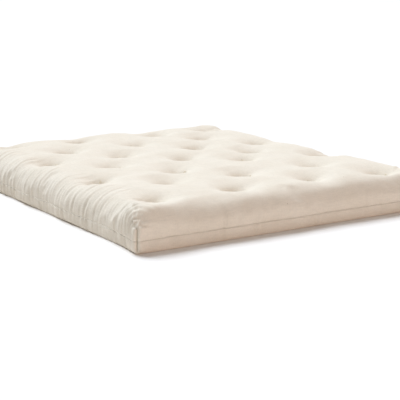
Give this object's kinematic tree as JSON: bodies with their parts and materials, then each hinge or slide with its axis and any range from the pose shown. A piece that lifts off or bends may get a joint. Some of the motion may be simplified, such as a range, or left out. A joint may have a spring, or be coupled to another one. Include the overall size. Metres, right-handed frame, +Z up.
{
  "type": "futon mattress",
  "caption": "Tufted cotton futon mattress: a calico sack of two seamed panels over stacked batting layers, pulled into dimples by knotted twine ties.",
  "frame": {"origin": "middle of the underside, on the surface that the mattress lies on", "axes": "+X across the width, +Y along the length from the closing seam's end to the other end, +Z up through the thickness"},
  "size_m": [1.6, 1.9, 0.18],
  "materials": {
    "calico": "matte",
    "batting": "matte",
    "twine": "matte",
    "thread": "matte"
  },
  "bodies": {
    "root": {"cover_top_panel": "calico", "cover_bottom_panel": "calico", "batting_layer_1": "batting", "batting_layer_2": "batting", "batting_layer_3": "batting", "batting_layer_4": "batting", "batting_layer_5": "batting", "batting_layer_6": "batting", "seam_front_closing": "thread", "seam_back": "thread", "seam_left": "thread", "seam_right": "thread", "corner_seam_front_left": "thread", "corner_seam_front_right": "thread", "corner_seam_back_left": "thread", "corner_seam_back_right": "thread", "tuft_tie_row1_a": "twine", "tuft_tie_row1_b": "twine", "tuft_tie_row1_c": "twine", "tuft_tie_row1_d": "twine", "tuft_tie_row2_a": "twine", "tuft_tie_row2_b": "twine", "tuft_tie_row2_c": "twine", "tuft_tie_row3_a": "twine", "tuft_tie_row3_b": "twine", "tuft_tie_row3_c": "twine", "tuft_tie_row3_d": "twine", "tuft_tie_row4_a": "twine", "tuft_tie_row4_b": "twine", "tuft_tie_row4_c": "twine", "tuft_tie_row5_a": "twine", "tuft_tie_row5_b": "twine", "tuft_tie_row5_c": "twine", "tuft_tie_row5_d": "twine", "tuft_tie_row6_a": "twine", "tuft_tie_row6_b": "twine", "tuft_tie_row6_c": "twine", "tuft_tie_row7_a": "twine", "tuft_tie_row7_b": "twine", "tuft_tie_row7_c": "twine", "tuft_tie_row7_d": "twine"}
  },
  "joints": []
}
